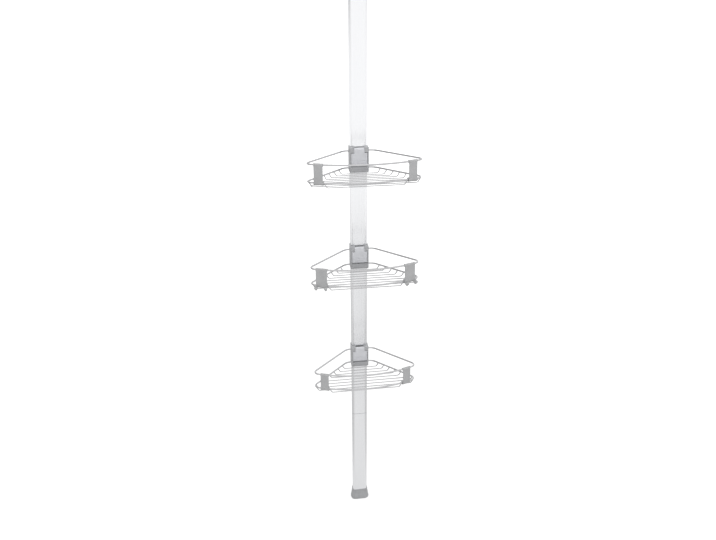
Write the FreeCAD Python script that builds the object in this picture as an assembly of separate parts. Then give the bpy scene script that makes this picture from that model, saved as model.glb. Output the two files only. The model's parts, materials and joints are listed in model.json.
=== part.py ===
import FreeCAD, Part
import math
import os
from FreeCAD import Vector

# Tension pole shelf unit. Millimetres, +Z up, front towards -Y.
# The origin is the middle of the floor foot, on the floor.

# ---- pole -------------------------------------------------------------------
ceiling_height = 2400.0        # floor to ceiling with the spring foot fully out
pole_width = 50.0              # flat-oval extrusion, across
pole_depth = 26.0              # flat-oval extrusion, front to back
pole_corner = 9.0
pole_wall = 1.6
seam_height = 375.0            # joint between the lower leg and the main pole
main_pole_top = 1850.0
joiner_length = 140.0          # push-in joiner inside both lower tubes
joiner_wall = 3.0
joiner_ring = 1.4              # its middle ring, seen as the line at the seam
joiner_ring_inset = 0.5        # ring below the poles' surface
upper_pole_wall = 1.4
upper_pole_length = 1020.0
telescope_gap = 0.3            # upper pole inside the main pole, each side
push_fit_gap = 0.1             # plastic inserts pushed into a tube, each side

# ---- feet -------------------------------------------------------------------
foot_height = 41.0
foot_tip_width = 63.0          # at the floor or the ceiling
foot_tip_depth = 36.0
foot_tip_corner = 15.0
foot_neck_wall = 0.8           # thin rubber lip round the tube at the neck
foot_swell = 4.5               # height of the widest part
foot_sole = 9.0                # rubber between the tube's end and the floor
foot_edge_radius = 4.0

# ---- spring foot in the upper pole ------------------------------------------
plunger_radius = 8.0
plunger_stroke = 24.0
plunger_fit_gap = 0.05         # running fit in the end bush, radial
plunger_flange = 6.0
plunger_head = 36.0            # length of the block inside the ceiling foot
bush_flange = 6.0
bush_length = 40.0
spring_length = 90.0
spring_coil_radius = 7.2       # to the middle of the wire
spring_wire_radius = 1.0
spring_turns = 12
spring_seat_height = 8.0
spring_post_radius = 5.0
spring_post_length = 15.0
seat_pin_radius = 2.0
guide_length = 20.0            # glide shoe under the upper pole, and its spigot
guide_gap = 0.2                # glide shoe inside the main pole, each side
inner_slide_gap = 0.4          # plunger flange inside the upper pole, each side
rest_gap = 0.1                 # between faces that rest on each other

# ---- carrier: the clamp that holds a shelf on the pole ------------------------
carrier_wall = 2.15            # beside and behind the pole
carrier_nose = 12.65           # in front of the pole, with the lever in it
carrier_gap = 0.35             # between the carrier and the pole, each side
carrier_above = 59.0           # above the shelf's frame wire
carrier_below = 12.2           # below the shelf's frame wire
carrier_front_corner = 4.0
carrier_edge_radius = 1.5
band_top = 4.0                 # top of the solid band below the lever
ear_height = 14.5              # the two ears that hold the lever's pin
ear_width = 12.8
cheek_width = 4.2              # on each side of the lever
cut_past = 1.0                 # cutters reach this far past a face
flat = 0.01                    # edges and faces this near a plane lie in it

# ---- flip lever, its pin and the brake pad ------------------------------------
lever_thickness = 5.0
lever_edge_radius = 1.6
lever_front_step = 0.5         # lever face behind the carrier's front face
lever_bottom = 7.5             # above the frame wire
lever_side_gap = 0.3
lever_back_gap = 0.3
lever_shoulder_gap = 1.8       # below the ears, so that the shoulders swing clear
pin_drop = 5.0                 # below the carrier's top
pin_inset = 5.0                # behind the carrier's front face
pin_radius = 1.25
pin_end_inset = 0.75           # pin's ends in from the carrier's sides
pin_gap = 0.05                 # in the lever, radial
pin_press_gap = 0.02           # in the ears, radial
barrel_wall = 2.1              # of the lever round its pin
cam_wall = 2.7                 # of the cam round the pin, on average
cam_offset = 0.7               # eccentricity of the cam
cam_phase = 45.0               # degrees below the line to the pole
rib_count = 3
rib_pitch = 6.4
rib_height = 0.8
rib_thickness = 2.4
rib_inset = 2.4                # ribs stop this far from the lever's sides
first_rib = 3.4                # above the lever's bottom
pad_side_step = 2.6            # pad narrower than the lever's neck, each side
pad_below = 23.0               # pad's bottom below the pin
pad_above = 4.0                # pad's top above the pin
pad_gap = 0.2                  # round the pad in its window
brake_gap = 0.1                # between pad and pole, and between cam and pad

# ---- shelf wires --------------------------------------------------------------
rim_height = 48.5              # rim wire above the frame wire
shelf_wire_radius = 2.5
wire_step = 2.0                # wires leave the carrier this far before the pole's front
socket_wall = 0.5              # between a wire's end and the pole's bore
exit_run = 14.5                # straight from the carrier to where the 45 degree side meets it
exit_bend_radius = 30.0
corner_reach = 151.0           # half of the shelf's width, to the wire's middle
corner_radius = 13.0
shelf_reach = 169.0            # from the pole's middle to the front of the bow
floor_wire_radius = 1.5
floor_wire_count = 9
floor_plate_gap = 1.2          # between the front floor wire's ends and the corner plates
floor_carrier_gap = 3.2        # between the last floor wire and the carrier's front face
floor_drop = 13.0              # floor wires below the frame wire
floor_bend_radius = 6.0
floor_riser_run = 6.0          # sideways run of each bent-up end
weld_depth = 0.3               # floor wire ends sink into the frame wire

# ---- corner plates and hooks --------------------------------------------------
plate_inset = 27.0             # plate's middle from the shelf's side
plate_width = 25.5
plate_waist_step = 0.7         # waist narrower than the barrels, each side
hook_plate_width = 33.0
plate_upper_wall = 1.7         # round the rim wire
plate_lower_wall = 3.5         # round the frame wire
plate_web = 3.0
plate_wire_gap = 0.05
hook_margin = 3.0              # hook's middle from the plate's side
hook_rod_radius = 2.3
hook_ball_radius = 4.5
hook_reach = 11.0              # hook tip in front of the plate's face
hook_bottom = 8.5              # lowest point of the hook's middle line below the wire
hook_tip = 1.5                 # ball below the frame wire

# ---- heights of the frame wires -----------------------------------------------
shelf_heights = {"lower": 584.0, "middle": 929.5, "top": 1226.0}
hooked_shelf = "middle"
lock_shoulder = 24.0           # the pole's top end above the lock's own zero height

# ---- worked-out places ----------------------------------------------------------
bore_width = pole_width - 2 * pole_wall
bore_depth = pole_depth - 2 * pole_wall
bore_corner = pole_corner - pole_wall
upper_width = bore_width - 2 * telescope_gap
upper_depth = bore_depth - 2 * telescope_gap
upper_corner = bore_corner - telescope_gap
upper_bore_width = upper_width - 2 * upper_pole_wall
upper_bore_depth = upper_depth - 2 * upper_pole_wall
upper_bore_corner = upper_corner - upper_pole_wall
foot_neck_width = pole_width + 2 * foot_neck_wall
foot_neck_depth = pole_depth + 2 * foot_neck_wall
foot_neck_corner = pole_corner + foot_neck_wall
head_top = ceiling_height - foot_sole - rest_gap
head_bottom = head_top - plunger_head
upper_pole_top = head_bottom - plunger_stroke - 2 * rest_gap - bush_flange
upper_pole_bottom = upper_pole_top - upper_pole_length
flange_top = upper_pole_top - bush_length - rest_gap
flange_bottom = flange_top - plunger_flange
seat_top = flange_bottom - spring_length - 2 * rest_gap
carrier_width = pole_width + 2 * (carrier_gap + carrier_wall)
carrier_front = pole_depth / 2 + carrier_gap + carrier_nose
lock_height = main_pole_top - lock_shoulder
lever_width = carrier_width - 2 * (cheek_width + lever_side_gap)
lever_neck_width = carrier_width - 2 * (ear_width + lever_side_gap)
lever_front = -(carrier_front - lever_front_step)
lever_back = lever_front + lever_thickness
shoulder_height = carrier_above - ear_height - lever_shoulder_gap
pin_height = carrier_above - pin_drop
pin_front = -(carrier_front - pin_inset)
barrel_radius = pin_radius + barrel_wall
cam_radius = pin_radius + cam_wall
cam_middle_y = pin_front + cam_offset * math.cos(math.radians(cam_phase))
cam_middle_z = pin_height - cam_offset * math.sin(math.radians(cam_phase))
pad_front = cam_middle_y + cam_radius + brake_gap
pad_width = lever_neck_width - 2 * pad_side_step
wire_exit = pole_depth / 2 + wire_step
side_vertex = carrier_width / 2 + exit_run
corner_middle_x = corner_reach - corner_radius
corner_middle_y = -wire_exit + side_vertex - corner_middle_x - corner_radius * math.sqrt(2)
bow_gap = corner_middle_y + shelf_reach
bow_radius = (corner_middle_x ** 2 + bow_gap ** 2 - corner_radius ** 2) / (2 * (bow_gap - corner_radius))
bow_middle_y = bow_radius - shelf_reach
socket_radius = shelf_wire_radius + plate_wire_gap
socket_back = wire_exit - socket_radius - (pole_depth / 2 - pole_corner)
socket_reach = pole_corner + carrier_gap + socket_wall
socket_end = pole_width / 2 - pole_corner + math.sqrt(socket_reach ** 2 - socket_back ** 2)
plate_angle = math.asin((corner_reach - plate_inset) / bow_radius)
upper_barrel_radius = socket_radius + plate_upper_wall
lower_barrel_radius = socket_radius + plate_lower_wall


# ---- shape helpers --------------------------------------------------------------
def box(x0, x1, y0, y1, z0, z1):
    return Part.makeBox(x1 - x0, y1 - y0, z1 - z0, Vector(x0, y0, z0))


def wide_box(half_width, y0, y1, z0, z1):
    return box(-half_width, half_width, y0, y1, z0, z1)


def rod_x(radius, x0, x1, y, z):
    return Part.makeCylinder(radius, x1 - x0, Vector(x0, y, z), Vector(1, 0, 0))


def rounded_rectangle(width, depth, radius, z):
    """Wire of a rounded rectangle, centred on the pole's axis."""
    x, y = width / 2 - radius, depth / 2 - radius
    edges = []
    for quarter in range(4):
        sign_x, sign_y = ((1, 1), (-1, 1), (-1, -1), (1, -1))[quarter]
        centre = Vector(sign_x * x, sign_y * y, z)
        start = centre + turned(radius, 90 * quarter)
        middle = centre + turned(radius, 90 * quarter + 45)
        end = centre + turned(radius, 90 * quarter + 90)
        if edges:
            edges.append(Part.LineSegment(last, start).toShape())
        else:
            first = start
        edges.append(Part.Arc(start, middle, end).toShape())
        last = end
    edges.append(Part.LineSegment(last, first).toShape())
    return Part.Wire(edges)


def turned(length, degrees):
    angle = math.radians(degrees)
    return Vector(length * math.cos(angle), length * math.sin(angle), 0)


def prism(width, depth, radius, z0, z1):
    face = Part.Face(rounded_rectangle(width, depth, radius, z0))
    return face.extrude(Vector(0, 0, z1 - z0))


def grown_prism(width, depth, radius, gap, z0, z1):
    """Prism of a rounded rectangle moved out by gap on every side."""
    return prism(width + 2 * gap, depth + 2 * gap, radius + gap, z0, z1)


def sweep(path, radius):
    """Round rod along a path of lines and arcs."""
    pieces = []
    for edge in path:
        start = edge.valueAt(edge.FirstParameter)
        along = edge.tangentAt(edge.FirstParameter)
        section = Part.Face(Part.Wire(Part.makeCircle(radius, start, along)))
        if edge.Curve.TypeId == "Part::GeomLine":
            pieces.append(section.extrude(edge.valueAt(edge.LastParameter) - start))
        else:
            turn = math.degrees(edge.LastParameter - edge.FirstParameter)
            pieces.append(section.revolve(edge.Curve.Center, edge.Curve.Axis, turn))
    return one_solid(pieces[0].fuse(pieces[1:]))


def line(a, b):
    return Part.LineSegment(a, b).toShape()


def arc(centre, radius, start_degrees, end_degrees):
    points = []
    for share in (0, 0.5, 1):
        points.append(centre + turned(radius, start_degrees + share * (end_degrees - start_degrees)))
    return Part.Arc(*points).toShape()


def mirrored(shape):
    return shape.mirror(Vector(0, 0, 0), Vector(1, 0, 0))


def one_solid(shape):
    return shape.removeSplitter().Solids[0]


def save(name, shape, height=0.0):
    piece = shape.copy()
    piece.translate(Vector(0, 0, height))
    piece.exportStep(os.path.join("parts", name + ".step"))
    print(name, "solids", len(piece.Solids), "volume %.0f" % piece.Volume, "valid", piece.isValid())


# ---- pole pieces ----------------------------------------------------------------
def tube(width, depth, corner, wall, z0, z1):
    return prism(width, depth, corner, z0, z1).cut(grown_prism(width, depth, corner, -wall, z0, z1))


def lower_leg():
    return tube(pole_width, pole_depth, pole_corner, pole_wall, foot_sole, seam_height - joiner_ring / 2)


def main_pole():
    return tube(pole_width, pole_depth, pole_corner, pole_wall, seam_height + joiner_ring / 2, main_pole_top)


def upper_pole():
    pole = tube(upper_width, upper_depth, upper_corner, upper_pole_wall, upper_pole_bottom, upper_pole_top)
    return pole.cut(seat_pin())


def leg_joiner():
    """Drawn about z = 0, with its ring in the middle."""
    half = joiner_length / 2
    sleeve = grown_prism(bore_width, bore_depth, bore_corner, -push_fit_gap, -half, half)
    ring = grown_prism(pole_width, pole_depth, pole_corner, -joiner_ring_inset,
                       -joiner_ring / 2, joiner_ring / 2)
    inside = grown_prism(bore_width, bore_depth, bore_corner, -joiner_wall, -half, half)
    return one_solid(sleeve.fuse(ring).cut(inside))


def foot():
    """Rubber boot on the end of a tube, sole at z = 0."""
    tip = rounded_rectangle(foot_tip_width, foot_tip_depth, foot_tip_corner, 0)
    shoulder = rounded_rectangle(foot_tip_width, foot_tip_depth, foot_tip_corner, foot_swell)
    neck = rounded_rectangle(foot_neck_width, foot_neck_depth, foot_neck_corner, foot_height)
    base = Part.Face(tip).extrude(Vector(0, 0, foot_swell))
    skirt = Part.makeLoft([shoulder, neck], True, True)
    boot = base.fuse(skirt).removeSplitter()
    sole_edges = [e for e in boot.Edges if e.BoundBox.ZMax < flat]
    boot = boot.makeFillet(foot_edge_radius, sole_edges)
    return boot.cut(prism(pole_width, pole_depth, pole_corner, foot_sole, foot_height))


def ceiling_foot():
    boot = foot()
    boot.rotate(Vector(0, 0, 0), Vector(1, 0, 0), 180)
    boot.translate(Vector(0, 0, ceiling_height))
    return boot


def pole_guide():
    shoe = grown_prism(bore_width, bore_depth, bore_corner, -guide_gap,
                       upper_pole_bottom - guide_length, upper_pole_bottom)
    spigot = grown_prism(upper_bore_width, upper_bore_depth, upper_bore_corner, -push_fit_gap,
                         upper_pole_bottom, upper_pole_bottom + guide_length)
    inside = grown_prism(upper_bore_width, upper_bore_depth, upper_bore_corner, -joiner_wall,
                         upper_pole_bottom - guide_length, upper_pole_bottom + guide_length)
    return one_solid(shoe.fuse(spigot).cut(inside))


# ---- spring foot ------------------------------------------------------------------
def end_bush():
    flange = prism(upper_width, upper_depth, upper_corner, upper_pole_top, upper_pole_top + bush_flange)
    spigot = grown_prism(upper_bore_width, upper_bore_depth, upper_bore_corner, -push_fit_gap,
                         upper_pole_top - bush_length, upper_pole_top)
    bore = Part.makeCylinder(plunger_radius + plunger_fit_gap, bush_length + bush_flange,
                             Vector(0, 0, upper_pole_top - bush_length))
    return one_solid(flange.fuse(spigot).cut(bore))


def plunger():
    rod = Part.makeCylinder(plunger_radius, head_bottom - flange_bottom, Vector(0, 0, flange_bottom))
    flange = grown_prism(upper_bore_width, upper_bore_depth, upper_bore_corner, -inner_slide_gap,
                         flange_bottom, flange_top)
    head = grown_prism(pole_width, pole_depth, pole_corner, -rest_gap, head_bottom, head_top)
    post_length = spring_length - spring_post_length - plunger_stroke - 2 * rest_gap
    post = Part.makeCylinder(spring_post_radius, post_length, Vector(0, 0, flange_bottom - post_length))
    return one_solid(rod.fuse([flange, head, post]))


def seat_pin():
    front = Vector(0, -upper_depth / 2, seat_top - spring_seat_height / 2)
    return Part.makeCylinder(seat_pin_radius, upper_depth, front, Vector(0, 1, 0))


def spring_seat():
    block = grown_prism(upper_bore_width, upper_bore_depth, upper_bore_corner, -push_fit_gap,
                        seat_top - spring_seat_height, seat_top)
    post = Part.makeCylinder(spring_post_radius, spring_post_length, Vector(0, 0, seat_top))
    return one_solid(block.fuse(post).cut(seat_pin()))


def tension_spring():
    bottom = seat_top + rest_gap + spring_wire_radius
    rise = spring_length - 2 * spring_wire_radius
    helix = Part.makeHelix(rise / spring_turns, rise, spring_coil_radius)
    start = Vector(spring_coil_radius, 0, 0)
    section = Part.Wire(Part.makeCircle(spring_wire_radius, start, Vector(0, 1, 0)))
    coil = Part.Wire(helix.Edges).makePipeShell([section], True, True)
    coil.translate(Vector(0, 0, bottom))
    return coil


# ---- carriers, levers, pins and pads, at the height of the frame wire ---------------
def carrier_block():
    """Square nose in front, and an even wall round the back of the pole."""
    nose = wide_box(carrier_width / 2, -carrier_front, 0, -carrier_below, carrier_above)
    corners = [e for e in nose.Edges if e.BoundBox.ZLength > carrier_above and e.BoundBox.YMax < pin_front]
    nose = nose.makeFillet(carrier_front_corner, corners)
    sleeve = grown_prism(pole_width, pole_depth, pole_corner, carrier_gap + carrier_wall,
                         -carrier_below, carrier_above)
    block = nose.fuse(sleeve).removeSplitter()
    ends = [e for e in block.Edges if e.BoundBox.ZLength < flat]
    return block.makeFillet(carrier_edge_radius, ends)


def latch_cuts(pole_front):
    """The lever's recess, the pad's window and the pin's holes."""
    lever_half = lever_width / 2 + lever_side_gap
    neck_half = lever_neck_width / 2 + lever_side_gap
    top = carrier_above + cut_past
    outside = -carrier_front - cut_past
    ear_bottom = carrier_above - ear_height
    paddle = wide_box(lever_half, outside, lever_back + lever_back_gap, band_top, ear_bottom)
    barrel_room = pin_front + barrel_radius + lever_side_gap
    neck = wide_box(neck_half, outside, barrel_room, ear_bottom - cut_past, top)
    window = wide_box(pad_width / 2 + pad_gap, lever_back, -pole_front + cut_past,
                      pin_height - pad_below - pad_gap, top)
    holes = rod_x(pin_radius + pin_press_gap, -carrier_width, carrier_width, pin_front, pin_height)
    return [paddle, neck, window, holes]


def shelf_carrier():
    block = carrier_block()
    bore = grown_prism(pole_width, pole_depth, pole_corner, carrier_gap, -carrier_below, carrier_above)
    sockets = []
    for height in (0, rim_height):
        for start in (-carrier_width, socket_end):
            end = start + carrier_width - socket_end
            sockets.append(rod_x(socket_radius, start, end, -wire_exit, height))
    return one_solid(block.cut([bore] + sockets + latch_cuts(pole_depth / 2)))


def lock_collar():
    """Pole lock: the lower half holds the main pole, the pad grips the upper pole."""
    block = carrier_block()
    seat = prism(pole_width, pole_depth, pole_corner, -carrier_below, lock_shoulder)
    bore = grown_prism(upper_width, upper_depth, upper_corner, carrier_gap, lock_shoulder, carrier_above)
    return one_solid(block.cut([seat, bore] + latch_cuts(upper_depth / 2)))


def lever():
    paddle = wide_box(lever_width / 2, lever_front, lever_back, lever_bottom, shoulder_height)
    front_edges = [e for e in paddle.Edges if e.BoundBox.YMax < lever_front + flat]
    paddle = paddle.makeFillet(lever_edge_radius, front_edges)
    neck_bottom = shoulder_height - lever_thickness
    neck = wide_box(lever_neck_width / 2, lever_front, lever_back, neck_bottom, pin_height)
    neck_edges = [e for e in neck.Edges
                  if e.BoundBox.YMax < lever_front + flat and e.BoundBox.ZMin > pin_height - flat]
    neck = neck.makeFillet(lever_edge_radius, neck_edges)
    barrel = rod_x(barrel_radius, -lever_neck_width / 2, lever_neck_width / 2, pin_front, pin_height)
    cam = rod_x(cam_radius, -pad_width / 2, pad_width / 2, cam_middle_y, cam_middle_z)
    ribs = []
    for index in range(rib_count):
        height = lever_bottom + first_rib + index * rib_pitch
        ribs.append(wide_box(lever_width / 2 - rib_inset, lever_front - rib_height, lever_front + rib_height,
                             height - rib_thickness / 2, height + rib_thickness / 2))
    bore = rod_x(pin_radius + pin_gap, -lever_width, lever_width, pin_front, pin_height)
    return one_solid(paddle.fuse([neck, barrel, cam] + ribs).cut(bore))


def lever_pin():
    half = carrier_width / 2 - pin_end_inset
    return rod_x(pin_radius, -half, half, pin_front, pin_height)


def brake_pad(pole_front):
    return wide_box(pad_width / 2, pad_front, -pole_front - brake_gap,
                    pin_height - pad_below, pin_height + pad_above)


# ---- shelf wires, at the height of the frame wire --------------------------------------
def shelf_wire(height):
    """One bent wire loop: socket, bend, 45 degree side, corner, bowed front, and back."""
    up = Vector(0, 0, height)
    tangent = exit_bend_radius * math.tan(math.radians(22.5))
    vertex = Vector(side_vertex, -wire_exit, 0) + up
    bend_start = vertex - Vector(tangent, 0, 0)
    bend_middle = bend_start - Vector(0, exit_bend_radius, 0)
    corner_middle = Vector(corner_middle_x, corner_middle_y, 0) + up
    bow_middle = Vector(0, bow_middle_y, 0) + up
    bow_angle = math.degrees(math.atan2(corner_middle_y - bow_middle_y, corner_middle_x))
    side = [line(Vector(socket_end, -wire_exit, height), bend_start),
            arc(bend_middle, exit_bend_radius, 90, 45),
            line(vertex + turned(tangent, -45), corner_middle + turned(corner_radius, 45)),
            arc(corner_middle, corner_radius, 45, bow_angle)]
    bow = arc(bow_middle, bow_radius, bow_angle, -180 - bow_angle)
    other = [mirrored(edge) for edge in reversed(side)]
    return sweep(Part.Wire(side + [bow] + other).OrderedEdges, shelf_wire_radius)


def frame_half_width(y):
    """Half width of the frame wire's middle line at one depth."""
    corner_start = corner_middle_y + corner_radius * math.sin(math.radians(45))
    corner_slope = corner_radius / (bow_radius - corner_radius)
    corner_end = corner_middle_y + corner_slope * (corner_middle_y - bow_middle_y)
    if y > corner_start:
        return side_vertex - wire_exit - y
    if y > corner_end:
        return corner_middle_x + math.sqrt(corner_radius ** 2 - (y - corner_middle_y) ** 2)
    return math.sqrt(bow_radius ** 2 - (y - bow_middle_y) ** 2)


def floor_wire(y):
    """Straight wire with both ends bent up to the frame wire."""
    half = frame_half_width(y)
    rise = floor_drop - shelf_wire_radius + weld_depth
    slope = math.degrees(math.atan2(rise, floor_riser_run))
    tangent = floor_bend_radius * math.tan(math.radians(slope / 2))
    vertex = Vector(half - floor_riser_run, 0, 0)
    bend_start = vertex - Vector(tangent, 0, 0)
    bend_end = vertex + turned(tangent, slope)
    side = [arc(bend_start + Vector(0, floor_bend_radius, 0), floor_bend_radius, -90, -90 + slope),
            line(bend_end, vertex + Vector(floor_riser_run, rise, 0))]
    other = [mirrored(edge) for edge in side]
    path = Part.Wire(other[::-1] + [line(-bend_start, bend_start)] + side)
    path.rotate(Vector(0, 0, 0), Vector(1, 0, 0), 90)
    path.translate(Vector(0, y, -floor_drop))
    return sweep(path.OrderedEdges, floor_wire_radius)


def floor_wires(plate):
    """Evenly spaced from just beside the corner plates, of the given width, to the carrier."""
    end_angle = plate_angle - (plate / 2 + floor_plate_gap + floor_wire_radius) / bow_radius
    first = bow_middle_y - bow_radius * math.cos(end_angle)
    last = -(carrier_front + floor_carrier_gap + floor_wire_radius)
    pitch = (last - first) / (floor_wire_count - 1)
    return Part.makeCompound([floor_wire(first + index * pitch) for index in range(floor_wire_count)])


# ---- corner plates ----------------------------------------------------------------------
def bow_piece(section, width):
    """Turn a section, drawn outwards along X and up along Z, about the bow's axis."""
    angle = math.degrees(width / bow_radius)
    piece = section.copy()
    piece.rotate(Vector(0, 0, 0), Vector(0, 0, 1), -90 - angle / 2)
    piece = piece.revolve(Vector(0, 0, 0), Vector(0, 0, 1), angle)
    return piece


def bow_disc(radius, height):
    return Part.Face(Part.Wire(Part.makeCircle(radius, Vector(bow_radius, 0, height), Vector(0, 1, 0))))


def bow_web():
    """Section of the plate between its barrels, flush with the front of both."""
    low = bow_radius + lower_barrel_radius
    high = bow_radius + upper_barrel_radius
    corners = [Vector(low - plate_web, 0, 0), Vector(low, 0, 0),
               Vector(high, 0, rim_height), Vector(high - plate_web, 0, rim_height)]
    return Part.Face(Part.makePolygon(corners + corners[:1]))


def hook(offset):
    """Round hook under the frame wire's barrel, in the plane at one offset from the middle."""
    root = bow_radius + lower_barrel_radius - hook_rod_radius
    bend = (hook_rod_radius + hook_reach) / 2
    low = -hook_bottom + bend
    across = Vector(root, 0, 0)
    tip = Vector(root + 2 * bend, -hook_tip, 0)
    middle = Vector(root + bend, low, 0)
    path = Part.Wire([line(across, Vector(across.x, low, 0)), arc(middle, bend, -180, 0),
                      line(Vector(tip.x, low, 0), tip)])
    path.rotate(Vector(0, 0, 0), Vector(1, 0, 0), 90)
    rod = sweep(path.OrderedEdges, hook_rod_radius)
    ball = Part.makeSphere(hook_ball_radius, Vector(tip.x, 0, tip.y))
    prong = rod.fuse(ball)
    prong.rotate(Vector(0, 0, 0), Vector(0, 0, 1), -90 + math.degrees(offset / bow_radius))
    return prong


def corner_plate(side, width, hooked):
    plate = bow_piece(bow_disc(lower_barrel_radius, 0), width)
    parts = [bow_piece(bow_disc(upper_barrel_radius, rim_height), width),
             bow_piece(bow_web(), width - 2 * plate_waist_step)]
    if hooked:
        parts += [hook(offset) for offset in (hook_margin - width / 2, width / 2 - hook_margin)]
    bores = [bow_piece(bow_disc(socket_radius, height), 2 * width) for height in (0, rim_height)]
    plate = one_solid(plate.fuse(parts).cut(bores))
    plate.rotate(Vector(0, 0, 0), Vector(0, 0, 1), side * math.degrees(plate_angle))
    plate.translate(Vector(0, bow_middle_y, 0))
    return plate


# ---- build --------------------------------------------------------------------------------
def save_pole():
    save("floor_foot", foot())
    save("lower_leg", lower_leg())
    save("leg_joiner", leg_joiner(), seam_height)
    save("main_pole", main_pole())
    save("upper_pole", upper_pole())
    save("pole_guide", pole_guide())
    save("end_bush", end_bush())
    save("plunger", plunger())
    save("tension_spring", tension_spring())
    save("spring_seat", spring_seat())
    save("seat_pin", seat_pin())
    save("ceiling_foot", ceiling_foot())


def save_lock():
    save("lock_collar", lock_collar(), lock_height)
    save("lock_lever", lever(), lock_height)
    save("lock_pin", lever_pin(), lock_height)
    save("lock_pad", brake_pad(upper_depth / 2), lock_height)


def save_shelf(name, height):
    hooked = name == hooked_shelf
    width = hook_plate_width if hooked else plate_width
    save(name + "_carrier", shelf_carrier(), height)
    save(name + "_lever", lever(), height)
    save(name + "_lever_pin", lever_pin(), height)
    save(name + "_brake_pad", brake_pad(pole_depth / 2), height)
    save(name + "_rim_wire", shelf_wire(rim_height), height)
    save(name + "_frame_wire", shelf_wire(0), height)
    save(name + "_floor_wires", floor_wires(width), height)
    save(name + "_left_plate", corner_plate(-1, width, hooked), height)
    save(name + "_right_plate", corner_plate(1, width, hooked), height)


os.makedirs("parts", exist_ok=True)
save_pole()
save_lock()
for shelf_name, shelf_height in shelf_heights.items():
    save_shelf(shelf_name, shelf_height)
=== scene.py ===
# %% [markdown]
# # A tension pole shelf unit, dressed for a studio picture
#
# The unit is a flat-oval aluminium pole that stands between floor and ceiling. Three corner
# shelves of polished wire hang on it, each held by a grey moulded carrier with a flip lever.
#
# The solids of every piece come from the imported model, so their sizes and places are settled.
# This lesson gives each one its finish, adds the small things that the solids leave out, such
# as weld beads, and lights the whole thing. We start by loading the model as a fixed frame.

# %% Load the frame
import json
import math
import bmesh
import bpy
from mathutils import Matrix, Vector


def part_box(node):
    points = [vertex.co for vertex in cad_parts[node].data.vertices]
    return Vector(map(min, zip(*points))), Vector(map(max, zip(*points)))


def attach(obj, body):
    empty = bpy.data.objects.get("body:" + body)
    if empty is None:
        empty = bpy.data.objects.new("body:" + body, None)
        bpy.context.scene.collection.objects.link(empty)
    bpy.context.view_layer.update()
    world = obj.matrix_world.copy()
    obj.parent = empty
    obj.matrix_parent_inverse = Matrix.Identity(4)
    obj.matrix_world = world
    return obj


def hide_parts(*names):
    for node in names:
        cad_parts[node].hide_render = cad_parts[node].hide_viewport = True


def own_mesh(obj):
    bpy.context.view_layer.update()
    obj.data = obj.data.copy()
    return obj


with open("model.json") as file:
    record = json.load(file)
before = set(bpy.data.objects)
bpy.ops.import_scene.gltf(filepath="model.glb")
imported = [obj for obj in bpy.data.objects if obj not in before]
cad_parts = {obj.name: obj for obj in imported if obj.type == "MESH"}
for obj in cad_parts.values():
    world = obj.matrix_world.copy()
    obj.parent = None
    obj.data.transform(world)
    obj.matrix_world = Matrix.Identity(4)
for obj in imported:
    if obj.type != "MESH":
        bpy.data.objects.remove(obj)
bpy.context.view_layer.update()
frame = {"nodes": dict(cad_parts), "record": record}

# %% [markdown]
# ## The camera
#
# A product photographer stands at eye height, a little to the left of the pole, and tips the
# camera down so that the shelves show their wire floors. A camera object needs three things:
# a place, a direction and a focal length. The frame is landscape, so the pole runs out of it
# at the top. We write the direction as three angles, because that is how a tripod head is set.

# %% Camera
CAMERA_PLACE = Vector((-0.241, -1.7455, 1.712))
CAMERA_DOWN = 24.7
CAMERA_TO_RIGHT = 7.8
CAMERA_ROLL = -0.29
FOCAL_LENGTH = 32.03
SENSOR_WIDTH = 36.0
NEAREST_SEEN = 0.01


def add_camera():
    data = bpy.data.cameras.new("studio_camera")
    data.lens = FOCAL_LENGTH
    data.sensor_width = SENSOR_WIDTH
    data.clip_start = NEAREST_SEEN
    camera = bpy.data.objects.new("studio_camera", data)
    bpy.context.scene.collection.objects.link(camera)
    camera.rotation_mode = "XYZ"
    camera.location = CAMERA_PLACE
    turn = (math.radians(90 - CAMERA_DOWN), 0.0, -math.radians(CAMERA_TO_RIGHT))
    camera.rotation_euler = turn
    camera.rotation_euler.rotate_axis("Z", math.radians(CAMERA_ROLL))
    bpy.context.scene.camera = camera
    return camera


camera = add_camera()
print("camera stands", round(camera.location.length, 2), "m from the floor foot")

# %% [markdown]
# ## Light
#
# Grey mouldings and bright wire on a white ground want broad, soft light. Most of it comes from
# the white room itself, as in a tent of white cloth. Three large, weak area lamps give it a
# direction: one on each side in front, at the height of the shelves, and one overhead. Mirrors
# don't see them, so no square white patches show in the metal.

# %% Lamps
LAMPS = {
    "right_lamp": dict(place=(2.5, -2.4, 1.1), target=(0, 0, 0.7), size=2.2, power=18.0),
    "left_lamp": dict(place=(-2.5, -2.4, 1.1), target=(0, 0, 0.7), size=2.2, power=18.0),
    "top_lamp": dict(place=(0.2, -0.6, 3.2), target=(0, -0.1, 0.8), size=1.8, power=15.0),
}


def add_lamp(name, place, target, size, power):
    data = bpy.data.lights.new(name, "AREA")
    data.shape = "SQUARE"
    data.size = size
    data.energy = power
    lamp = bpy.data.objects.new(name, data)
    lamp.location = place
    lamp.rotation_euler = (Vector(target) - Vector(place)).to_track_quat("-Z", "Y").to_euler()
    lamp.visible_glossy = False
    bpy.context.scene.collection.objects.link(lamp)


for lamp_name, settings in LAMPS.items():
    add_lamp(lamp_name, **settings)
print("lamps:", ", ".join(LAMPS))

# %% [markdown]
# ## Wiring nodes
#
# The room, the floor and every finish are made of shader nodes. Four short helpers keep the
# wiring readable. One does a sum, one maps a range of values onto another, and two tell the
# rays apart: those that look straight at a thing, and those that see it in a mirror.

# %% Node helpers
def calculate(nodes, links, operation, *values):
    """The result of one sum; each value is a socket or a plain number."""
    node = nodes.new("ShaderNodeMath")
    node.operation = operation
    for socket, value in zip(node.inputs, values):
        if isinstance(value, float):
            socket.default_value = value
        else:
            links.new(value, socket)
    return node.outputs[0]


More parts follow.
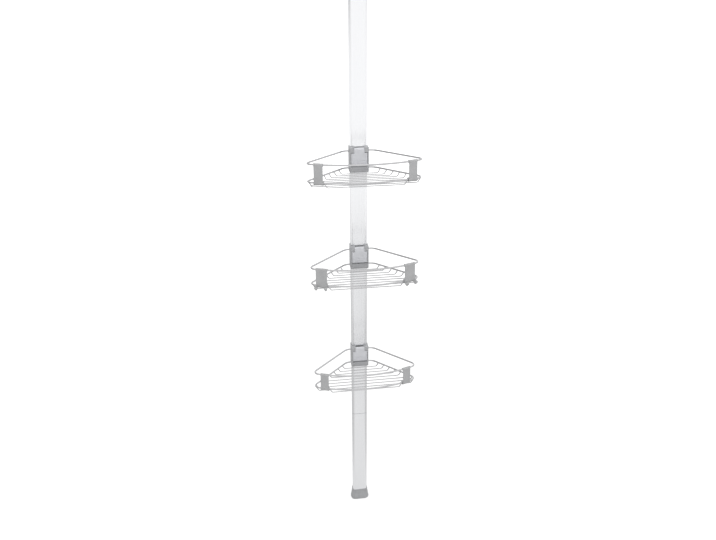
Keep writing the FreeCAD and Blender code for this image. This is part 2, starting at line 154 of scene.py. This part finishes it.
def map_range(nodes, links, value, old, new, smooth=False):
    """Map the range old onto the range new, with a soft start and end if smooth."""
    node = nodes.new("ShaderNodeMapRange")
    if smooth:
        node.interpolation_type = "SMOOTHSTEP"
    for name, limit in zip(("From Min", "From Max", "To Min", "To Max"), (*old, *new)):
        node.inputs[name].default_value = limit
    links.new(value, node.inputs["Value"])
    return node.outputs["Result"]


def looked_at(nodes, links):
    """1 on rays from the camera and through something clear, 0 on the rest."""
    rays = nodes.new("ShaderNodeLightPath").outputs
    return calculate(nodes, links, "MAXIMUM", rays["Is Camera Ray"], rays["Is Transmission Ray"])


def seen_directly(nodes, links, mirror_share=1.0):
    """1 on rays that look straight at a thing, mirror_share on mirrored ones, 0 on the rest."""
    rays = nodes.new("ShaderNodeLightPath").outputs
    mirrored = calculate(nodes, links, "MULTIPLY", rays["Is Glossy Ray"], mirror_share)
    return calculate(nodes, links, "MAXIMUM", looked_at(nodes, links), mirrored)


print("node helpers ready")

# %% [markdown]
# ## The room around it
#
# Bright metal is drawn by what it mirrors. In an all-white room it would vanish, so a studio
# keeps its side walls a little darker: their reflection draws a grey line down both rounded
# edges of the pole. Here only mirrors see such walls: white behind and in front, grey to the
# left and, less, to the right. To the camera, and through anything clear, the room is plain
# white on every side. Dull surfaces get a little less light than that from it, because the
# lamps add theirs, and so a colour renders about as it is written.

# %% World
WORLD_LEVEL = 0.88
WHITE = (1.0, 1.0, 1.0, 1.0)
WALL_TONES = [(0.0, 0.28), (0.13, 0.42), (0.26, 1.0), (0.8, 1.0), (0.92, 0.85), (1.0, 0.78)]


def wall_tone(nodes, links):
    """The world's tone by how far a direction points to the left or right."""
    direction = nodes.new("ShaderNodeTexCoord")
    parts = nodes.new("ShaderNodeSeparateXYZ")
    links.new(direction.outputs["Generated"], parts.inputs[0])
    ramp = nodes.new("ShaderNodeValToRGB")
    stops = ramp.color_ramp.elements
    while len(stops) < len(WALL_TONES):
        stops.new(1.0)
    for stop, (position, tone) in zip(stops, WALL_TONES):
        stop.position = position
        stop.color = (tone, tone, tone, 1.0)
    across = map_range(nodes, links, parts.outputs["X"], (-1.0, 1.0), (0.0, 1.0))
    links.new(across, ramp.inputs["Fac"])
    return ramp.outputs["Color"]


def background(nodes, links, strength, tone=None):
    shader = nodes.new("ShaderNodeBackground")
    shader.inputs["Color"].default_value = WHITE
    shader.inputs["Strength"].default_value = strength
    if tone:
        links.new(tone, shader.inputs["Color"])
    return shader.outputs[0]


def mix_shaders(nodes, links, share, first, second):
    mix = nodes.new("ShaderNodeMixShader")
    links.new(share, mix.inputs[0])
    links.new(first, mix.inputs[1])
    links.new(second, mix.inputs[2])
    return mix.outputs[0]


def build_world():
    world = bpy.data.worlds.new("white_studio")
    world.use_nodes = True
    nodes, links = world.node_tree.nodes, world.node_tree.links
    nodes.clear()
    rays = nodes.new("ShaderNodeLightPath").outputs
    lit = background(nodes, links, WORLD_LEVEL)
    mirrored = background(nodes, links, 1.0, wall_tone(nodes, links))
    walls = mix_shaders(nodes, links, rays["Is Glossy Ray"], lit, mirrored)
    plain = background(nodes, links, 1.0)
    room = mix_shaders(nodes, links, looked_at(nodes, links), walls, plain)
    output = nodes.new("ShaderNodeOutputWorld")
    links.new(room, output.inputs[0])
    bpy.context.scene.world = world


build_world()
bpy.context.scene.view_settings.view_transform = "Standard"
print("world level on dull surfaces:", WORLD_LEVEL)

# %% [markdown]
# ## The floor
#
# The pole stands on a pale floor that runs on until it meets the white world, so no horizon
# shows. The floor is a plain diffuse sheet, which keeps the shadow of the foot. Two glows lift
# it the last step to white. One grows with the distance, as the lamps light the floor less
# there, and both the camera and mirrors see it. The other is even, and mirrors see a part of
# it, as if only a strip of white paper lay from front to back. So the lower pole mirrors a
# floor a shade darker than the walls, and its rounded edges, which mirror the sides, are
# darker still.

# %% Floor
FLOOR_HALF = 60.0
FLOOR_COLOUR = (0.55, 0.55, 0.55, 1.0)
EVEN_GLOW = 0.58
LANE_MIRROR_SHARE = 0.36
LANE_EDGES = (0.08, 0.35)
FAR_GLOW = 0.52
FAR_REACH = (0.4, 5.0)


def far_glow(nodes, links):
    """The strength of the glow that grows with the distance from the pole."""
    place = nodes.new("ShaderNodeTexCoord")
    distance = nodes.new("ShaderNodeVectorMath")
    distance.operation = "LENGTH"
    links.new(place.outputs["Object"], distance.inputs[0])
    glow = map_range(nodes, links, distance.outputs["Value"], FAR_REACH, (0.0, FAR_GLOW), smooth=True)
    return calculate(nodes, links, "MULTIPLY", glow, seen_directly(nodes, links))


def lane_share(nodes, links):
    """The share of the even glow that mirrors see: a lane along Y, soft at its edges."""
    place = nodes.new("ShaderNodeTexCoord")
    parts = nodes.new("ShaderNodeSeparateXYZ")
    links.new(place.outputs["Object"], parts.inputs[0])
    aside = calculate(nodes, links, "ABSOLUTE", parts.outputs["X"])
    return map_range(nodes, links, aside, LANE_EDGES, (LANE_MIRROR_SHARE, 0.0), smooth=True)


def floor_material():
    material = bpy.data.materials.new("pale_floor")
    material.use_nodes = True
    nodes, links = material.node_tree.nodes, material.node_tree.links
    nodes.clear()
    sheet = nodes.new("ShaderNodeBsdfDiffuse")
    sheet.inputs["Color"].default_value = FLOOR_COLOUR
    even = seen_directly(nodes, links, lane_share(nodes, links))
    strength = calculate(nodes, links, "MULTIPLY_ADD", even, EVEN_GLOW, far_glow(nodes, links))
    glow = nodes.new("ShaderNodeEmission")
    glow.inputs["Color"].default_value = WHITE
    links.new(strength, glow.inputs["Strength"])
    add = nodes.new("ShaderNodeAddShader")
    links.new(sheet.outputs[0], add.inputs[0])
    links.new(glow.outputs[0], add.inputs[1])
    output = nodes.new("ShaderNodeOutputMaterial")
    links.new(add.outputs[0], output.inputs[0])
    return material


def add_floor():
    mesh = bpy.data.meshes.new("studio_floor")
    work = bmesh.new()
    bmesh.ops.create_grid(work, x_segments=1, y_segments=1, size=FLOOR_HALF)
    work.to_mesh(mesh)
    work.free()
    floor = bpy.data.objects.new("studio_floor", mesh)
    bpy.context.scene.collection.objects.link(floor)
    mesh.materials.append(floor_material())


add_floor()
print("floor is", 2 * FLOOR_HALF, "m across")

# %% [markdown]
# ## A small kit for materials
#
# Every finish below is a Principled shader with a few nodes in front of it. The nodes read
# object coordinates, which are metres here, so a noise scale of 1000 means grains of about a
# millimetre. A few helpers are enough. One starts a material, one gives a noise that may be
# stretched along an axis, and one turns that noise into a gentle change of a value. Two deal
# with colour: a lighter or darker shade of one, and a mix that wanders between two shades. The
# last raises a shallow relief. Where a noise drives a value, the material starts from the
# middle of that value's range.

# %% Material helpers
NOISE_MIDDLE = (0.3, 0.7)
# the Mix node has sockets for every kind of value, and these are the ones for colours
MIX_FACTOR, MIX_FIRST, MIX_SECOND, MIX_RESULT = 0, 6, 7, 2


def start_material(name, colour, roughness, metallic=0.0):
    material = bpy.data.materials.new(name)
    material.use_nodes = True
    shader = material.node_tree.nodes["Principled BSDF"]
    shader.inputs["Base Color"].default_value = (*colour, 1.0)
    shader.inputs["Roughness"].default_value = roughness
    shader.inputs["Metallic"].default_value = metallic
    return material, shader


def stretched_noise(material, scale, detail=3.0):
    """Noise in object coordinates; scale is one number for each axis, in cycles per metre."""
    nodes, links = material.node_tree.nodes, material.node_tree.links
    coordinates = nodes.new("ShaderNodeTexCoord")
    mapping = nodes.new("ShaderNodeMapping")
    mapping.inputs["Scale"].default_value = scale
    noise = nodes.new("ShaderNodeTexNoise")
    noise.inputs["Scale"].default_value = 1.0
    noise.inputs["Detail"].default_value = detail
    links.new(coordinates.outputs["Object"], mapping.inputs["Vector"])
    links.new(mapping.outputs["Vector"], noise.inputs["Vector"])
    return noise.outputs["Fac"]


def spread(material, value, low, high):
    """Map the middle of a noise, where most of its values lie, onto low to high."""
    nodes, links = material.node_tree.nodes, material.node_tree.links
    return map_range(nodes, links, value, NOISE_MIDDLE, (low, high))


def halfway(limits):
    """The value halfway between two limits."""
    return sum(limits) / 2


def shade(colour, factor):
    """The colour, made lighter or darker by a factor."""
    return tuple(factor * part for part in colour)


def shade_between(material, value, dark, light):
    """A colour that wanders between two shades as the value does."""
    nodes, links = material.node_tree.nodes, material.node_tree.links
    mix = nodes.new("ShaderNodeMix")
    mix.data_type = "RGBA"
    mix.inputs[MIX_FIRST].default_value = (*dark, 1.0)
    mix.inputs[MIX_SECOND].default_value = (*light, 1.0)
    links.new(spread(material, value, 0.0, 1.0), mix.inputs[MIX_FACTOR])
    return mix.outputs[MIX_RESULT]


def bump(material, shader, value, depth):
    """Raise the surface by up to depth metres where the value is high."""
    nodes, links = material.node_tree.nodes, material.node_tree.links
    relief = nodes.new("ShaderNodeBump")
    relief.inputs["Distance"].default_value = depth
    links.new(value, relief.inputs["Height"])
    links.new(relief.outputs["Normal"], shader.inputs["Normal"])


print("material helpers ready")

# %% [markdown]
# ## Satin anodised aluminium
#
# The pole is an extrusion. Pulling the metal through the die leaves faint lines along it, and
# anodising turns the shine into a satin. So a noise that is stretched several hundredfold along
# Z drives the roughness and a very shallow relief. A second, broad one shifts the shade.

# %% Aluminium
DIE_LINES = (900.0, 900.0, 1.2)
ALUMINIUM_CLOUDS = (14.0, 14.0, 3.0)
ALUMINIUM_SHADES = ((0.925, 0.93, 0.945), (0.945, 0.95, 0.965))
ALUMINIUM_ROUGHNESS = (0.2, 0.28)
METAL_RELIEF = 0.00001


def anodised_aluminium():
    dark, light = ALUMINIUM_SHADES
    between = [halfway(pair) for pair in zip(dark, light)]
    roughness = halfway(ALUMINIUM_ROUGHNESS)
    material, shader = start_material("anodised_aluminium", between, roughness, metallic=1.0)
    links = material.node_tree.links
    lines = stretched_noise(material, DIE_LINES, detail=4.0)
    clouds = stretched_noise(material, ALUMINIUM_CLOUDS, detail=2.0)
    links.new(spread(material, lines, *ALUMINIUM_ROUGHNESS), shader.inputs["Roughness"])
    links.new(shade_between(material, clouds, dark, light), shader.inputs["Base Color"])
    bump(material, shader, lines, METAL_RELIEF)
    return material


finishes = {"pole_aluminium": anodised_aluminium()}
print("finish: satin anodised aluminium")


# %% [markdown]
# ## Polished stainless wire
#
# The shelf wires are drawn, bent, welded and then polished. They mirror the white room on top
# and the grey of the floor's shade below. Steel is a darker mirror than silver, so its base
# colour is well under white. A little noise in the roughness keeps the mirror from looking
# like a computer's.

# %% Stainless wire
WIRE_COLOUR = (0.61, 0.61, 0.62)
WIRE_GRAIN = (220.0, 220.0, 900.0)
WIRE_ROUGHNESS = (0.14, 0.22)


def stainless_wire():
    roughness = halfway(WIRE_ROUGHNESS)
    material, shader = start_material("polished_stainless", WIRE_COLOUR, roughness, metallic=1.0)
    links = material.node_tree.links
    grain = stretched_noise(material, WIRE_GRAIN)
    links.new(spread(material, grain, *WIRE_ROUGHNESS), shader.inputs["Roughness"])
    bump(material, shader, grain, METAL_RELIEF)
    return material


finishes["shelf_wire"] = stainless_wire()
print("finish: polished stainless wire")


# %% [markdown]
# ## Moulded plastics
#
# Carriers and corner plates come from a spark-eroded mould, which prints a fine even grain on
# the plastic. The levers are a lighter grey with a smoother skin, and the pieces inside the
# pole are plain nylon. All are the same recipe with other numbers: a fine noise for the grain
# and a broad one for the slight unevenness of the colour. It is a function, so each is one call.

# %% Plastics
MOULD_GRAIN = (2600.0, 2600.0, 2600.0)
PLASTIC_CLOUDS = (35.0, 35.0, 35.0)
PLASTIC_SHADES = (0.95, 1.04)
PLASTIC_SWING = 0.06


def moulded_plastic(name, colour, roughness, grain_depth):
    material, shader = start_material(name, colour, roughness)
    links = material.node_tree.links
    grain = stretched_noise(material, MOULD_GRAIN, detail=2.0)
    clouds = stretched_noise(material, PLASTIC_CLOUDS, detail=2.0)
    dark, light = (shade(colour, factor) for factor in PLASTIC_SHADES)
    links.new(shade_between(material, clouds, dark, light), shader.inputs["Base Color"])
    uneven = spread(material, grain, roughness - PLASTIC_SWING, roughness + PLASTIC_SWING)
    links.new(uneven, shader.inputs["Roughness"])
    bump(material, shader, grain, grain_depth)
    return material


finishes["grey_plastic"] = moulded_plastic("carrier_grey", (0.42, 0.425, 0.437), 0.48, 0.00006)
finishes["plate_plastic"] = moulded_plastic("plate_grey", (0.405, 0.408, 0.413), 0.46, 0.00005)
finishes["lever_plastic"] = moulded_plastic("lever_grey", (0.645, 0.652, 0.68), 0.36, 0.00003)
finishes["inner_plastic"] = moulded_plastic("inner_nylon", (0.62, 0.62, 0.62), 0.5, 0.00004)
print("finishes: carrier, plate, lever and inner plastics")


# %% [markdown]
# ## Rubber
#
# The feet are soft grey rubber, dull and slightly dusty. The brake pads are a darker rubber.
# Rubber scatters nearly all its light, so the roughness is high. A fine noise makes the pores
# and a broader one the dust.

# %% Rubber
RUBBER_PORES = (1400.0, 1400.0, 1400.0)
RUBBER_DUST = (60.0, 60.0, 40.0)
RUBBER_SHADES = (0.92, 1.06)
RUBBER_ROUGHNESS = (0.64, 0.8)
PORE_DEPTH = 0.00008


def rubber(name, colour):
    material, shader = start_material(name, colour, halfway(RUBBER_ROUGHNESS))
    links = material.node_tree.links
    pores = stretched_noise(material, RUBBER_PORES, detail=4.0)
    dust = stretched_noise(material, RUBBER_DUST)
    dark, light = (shade(colour, factor) for factor in RUBBER_SHADES)
    links.new(shade_between(material, dust, dark, light), shader.inputs["Base Color"])
    links.new(spread(material, pores, *RUBBER_ROUGHNESS), shader.inputs["Roughness"])
    bump(material, shader, pores, PORE_DEPTH)
    return material


finishes["foot_rubber"] = rubber("foot_rubber", (0.37, 0.375, 0.385))
finishes["brake_rubber"] = rubber("brake_rubber", (0.18, 0.182, 0.188))
print("finishes: foot and brake rubber")


# %% [markdown]
# ## Bright steel
#
# The pins and the coil spring are bright drawn steel that nobody polishes afterwards. Their
# shine is uneven, so a noise changes the roughness from place to place.

# %% Bright steel
STEEL_COLOUR = (0.6, 0.6, 0.61)
STEEL_PATCHES = (600.0, 600.0, 600.0)
STEEL_ROUGHNESS = (0.2, 0.38)


def bright_steel():
    roughness = halfway(STEEL_ROUGHNESS)
    material, shader = start_material("bright_steel", STEEL_COLOUR, roughness, metallic=1.0)
    links = material.node_tree.links
    patches = stretched_noise(material, STEEL_PATCHES)
    links.new(spread(material, patches, *STEEL_ROUGHNESS), shader.inputs["Roughness"])
    return material


finishes["spring_steel"] = bright_steel()
print("finish: bright steel")

# %% [markdown]
# ## Dress the solids
#
# The record says which slot each node takes its finish from, so one loop dresses them all.

# %% Assign the finishes
slot_of = {entry["node"]: entry["material_slot"] for entry in frame["record"]["subparts"]}


def dress(piece, material):
    piece.data.materials.clear()
    piece.data.materials.append(material)


for node_name, node in frame["nodes"].items():
    dress(node, finishes[slot_of[node_name]])
print("dressed", len(frame["nodes"]), "nodes with", len(finishes), "finishes")

# %% [markdown]
# ## Weld beads
#
# Each floor wire is butted against the underside of the frame wire and resistance-welded: the
# press squeezes a little hot steel out, which sets as a collar round the wire's end. A torus
# would be too regular and would stop short of both wires. A lathed profile that starts flush
# with the thin wire and flares into the thick one, with a slight wobble, is closer to the real
# thing. The ends are found in the node's own mesh: they are the small flat discs that face
# outwards and up, close below the wire's highest point.

# %% Find the welded ends
WIRE_RADIUS = 0.0015
END_DEPTH = 0.003
END_SPAN = 2.1 * WIRE_RADIUS
LEAST_FACING = 0.2
LINE_GAP = 0.003


def wire_groups(mesh):
    """The mesh's triangles, sorted into one list for each floor wire by their place along Y."""
    mesh.calc_loop_triangles()
    triangles = sorted(mesh.loop_triangles, key=lambda triangle: triangle.center.y)
    groups = [[triangles[0]]]
    for triangle in triangles[1:]:
        if triangle.center.y - groups[-1][-1].center.y > LINE_GAP:
            groups.append([])
        groups[-1].append(triangle)
    return groups


def welded_end(mesh, triangles, side):
    """Middle and outward direction of the flat end of one wire; side is -1 for left, 1 for right."""
    top = max(mesh.vertices[index].co.z for triangle in triangles for index in triangle.vertices)
    middle, direction, area = Vector(), Vector(), 0.0
    for triangle in triangles:
        corners = [mesh.vertices[index].co for index in triangle.vertices]
        longest = max((corners[i] - corners[i - 1]).length for i in range(3))
        faces_out = side * triangle.normal.x > LEAST_FACING and triangle.normal.z > LEAST_FACING
        if faces_out and longest < END_SPAN and triangle.center.z > top - END_DEPTH:
            middle += triangle.center * triangle.area
            direction += triangle.normal * triangle.area
            area += triangle.area
    return middle / area, direction.normalized()


welds = {}
for node_name, node in frame["nodes"].items():
    if node_name.endswith("_floor_wires"):
        shelf = node_name.split("_")[0]
        groups = wire_groups(node.data)
        welds[shelf] = [welded_end(node.data, group, side) for group in groups for side in (-1, 1)]
        print(shelf, "shelf:", len(groups), "wires,", len(welds[shelf]), "welds")

# %% [markdown]
# ## Making the beads
#
# The beads, the lips of the feet and the spring are all made the same way: rings of points,
# with a skin of faces drawn over them. An open tube gets a face at each end, so every mesh is
# closed. The normals are turned outwards once the mesh is whole.

# %% Make the beads
BEAD_PROFILE = [
    (-0.0021, 0.00147), (-0.0015, 0.00158), (-0.0009, 0.00188), (-0.0003, 0.0023), (0.0003, 0.0022),
]
BEAD_SEGMENTS = 18
BEAD_WOBBLE = 0.07
BEAD_LOBES = 3


def skin(work, rings, looped=False):
    """Draw bands of faces from ring to ring; looped joins the last ring to the first."""
    following = rings[1:] + rings[:1] if looped else rings[1:]
    for ring, beyond in zip(rings, following):
        for step in range(len(ring)):
            after = (step + 1) % len(ring)
            work.faces.new((ring[step], beyond[step], beyond[after], ring[after]))
    if not looped:
        work.faces.new(rings[0])
        work.faces.new(rings[-1][::-1])


def add_bead(work, middle, direction, turn):
    """Lathe the bead's profile, as (along, radius), round a wire's end, closed at both ends."""
    across = direction.cross(Vector((0.0, 1.0, 0.0))).normalized()
    level = direction.cross(across)
    rings = []
    for along, radius in BEAD_PROFILE:
        ring = []
        for step in range(BEAD_SEGMENTS):
            angle = 2 * math.pi * step / BEAD_SEGMENTS
            lobes = math.sin(BEAD_LOBES * angle + turn)
            wobble = 1 + BEAD_WOBBLE * lobes * (radius / WIRE_RADIUS - 1)
            out = across * math.cos(angle) + level * math.sin(angle)
            ring.append(work.verts.new(middle + direction * along + out * radius * wobble))
        rings.append(ring)
    skin(work, rings)


def finish_mesh(work, name, material, body):
    """Turn a bmesh into a smooth piece that rides on a body."""
    bmesh.ops.recalc_face_normals(work, faces=work.faces)
    mesh = bpy.data.meshes.new(name)
    work.to_mesh(mesh)
    work.free()
    for face in mesh.polygons:
        face.use_smooth = True
    piece = bpy.data.objects.new(name, mesh)
    bpy.context.scene.collection.objects.link(piece)
    dress(piece, material)
    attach(piece, body)
    return piece


for shelf, ends in welds.items():
    work = bmesh.new()
    for index, (middle, direction) in enumerate(ends):
        add_bead(work, middle, direction, turn=index)
    name = shelf + "_weld_beads"
    beads = finish_mesh(work, name, finishes["shelf_wire"], shelf + "_shelf")
    print(beads.name, "has", len(beads.data.polygons), "faces")

# %% [markdown]
# ## The lips of the feet
#
# A rubber boot has a rolled lip at its mouth, so that it doesn't tear when it is pulled over
# the tube. The lip is a thin round bead that follows the tube's flat oval. We could bevel a
# curve, but then its corners would depend on the curve's own smoothing. Here the oval is worked
# out point by point, with its outward direction, and a small round section is carried along it.

# %% Foot lips
POLE_CORNER = 0.009
LIP_RADIUS = 0.0011
LIP_BELOW = 0.0014
CORNER_STEPS = 12
LIP_STEPS = 10


def oval_points(half_width, half_depth, corner):
    """Points round a rounded rectangle, each with its outward direction."""
    points = []
    for quarter in range(4):
        sign_x, sign_y = ((1, 1), (-1, 1), (-1, -1), (1, -1))[quarter]
        for step in range(CORNER_STEPS + 1):
            angle = math.radians(90 * (quarter + step / CORNER_STEPS))
            out = Vector((math.cos(angle), math.sin(angle), 0.0))
            centre = Vector((sign_x * (half_width - corner), sign_y * (half_depth - corner), 0.0))
            points.append((centre + out * corner, out))
    return points


def add_lip(name, tube, height, body):
    low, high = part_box(tube)
    outline = oval_points((high[0] - low[0]) / 2, (high[1] - low[1]) / 2, POLE_CORNER)
    work = bmesh.new()
    rings = []
    for place, out in outline:
        ring = []
        for step in range(LIP_STEPS):
            angle = 2 * math.pi * step / LIP_STEPS
            reach = LIP_RADIUS * (1 + math.cos(angle))
            rise = LIP_RADIUS * math.sin(angle)
            ring.append(work.verts.new(place + out * reach + Vector((0.0, 0.0, height + rise))))
        rings.append(ring)
    skin(work, rings, looped=True)
    finish_mesh(work, name, finishes["foot_rubber"], body)


floor_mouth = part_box("floor_foot")[1][2]
ceiling_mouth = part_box("ceiling_foot")[0][2]
add_lip("floor_foot_lip", "lower_leg", floor_mouth - LIP_BELOW, "pole")
add_lip("ceiling_foot_lip", "lower_leg", ceiling_mouth + LIP_BELOW, "spring_foot")
print("lips at", round(floor_mouth, 4), "and", round(ceiling_mouth, 4), "m")

# %% [markdown]
# ## The spring that shortens
#
# Inside the upper pole a coil spring pushes the ceiling foot up. When the foot is pressed down,
# the spring gets shorter, which a rigid solid can't do. So the coil is made again as a mesh of
# its own, and the solid spring is hidden. A screw modifier could wind it, but a real spring lies
# closed at both ends, so its wire is walked turn by turn instead: slowly over the first and last
# turn, evenly between them.

# %% Tension spring
SPRING_TURNS = 12
END_TURNS = 1
COIL_STEPS = 32
WIRE_SIDES = 10
SPRING_WIRE = 0.001
CLOSED_PITCH = 0.0021
TANGENT_STEP = 0.01


def wire_height(turn, rise):
    """Height of the wire's middle above its lowest point after some turns."""
    if turn < END_TURNS:
        return turn * CLOSED_PITCH
    if turn > SPRING_TURNS - END_TURNS:
        return rise - (SPRING_TURNS - turn) * CLOSED_PITCH
    share = (turn - END_TURNS) / (SPRING_TURNS - 2 * END_TURNS)
    return END_TURNS * CLOSED_PITCH + share * (rise - 2 * END_TURNS * CLOSED_PITCH)


def coil_point(turn, radius, rise):
    angle = 2 * math.pi * turn
    return Vector((radius * math.cos(angle), radius * math.sin(angle), wire_height(turn, rise)))


def add_spring(low, high):
    """Wind a coil in the box from low to high."""
    radius = (high[0] - low[0]) / 2 - SPRING_WIRE
    rise = high[2] - low[2] - 2 * SPRING_WIRE
    foot = Vector((0.0, 0.0, low[2] + SPRING_WIRE))
    work = bmesh.new()
    rings = []
    for step in range(SPRING_TURNS * COIL_STEPS + 1):
        turn = step / COIL_STEPS
        place = coil_point(turn, radius, rise)
        behind = coil_point(turn - TANGENT_STEP, radius, rise)
        ahead = coil_point(turn + TANGENT_STEP, radius, rise)
        along = (ahead - behind).normalized()
        out = Vector((place.x, place.y, 0.0)).normalized()
        up = out.cross(along)
        ring = []
        for side in range(WIRE_SIDES):
            angle = 2 * math.pi * side / WIRE_SIDES
            offset = SPRING_WIRE * (out * math.cos(angle) + up * math.sin(angle))
            ring.append(work.verts.new(foot + place + offset))
        rings.append(ring)
    skin(work, rings)
    return finish_mesh(work, "wound_spring", finishes["spring_steel"], "upper_pole")


spring_low, spring_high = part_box("tension_spring")
wound_spring = add_spring(spring_low, spring_high)
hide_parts("tension_spring")
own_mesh(wound_spring)
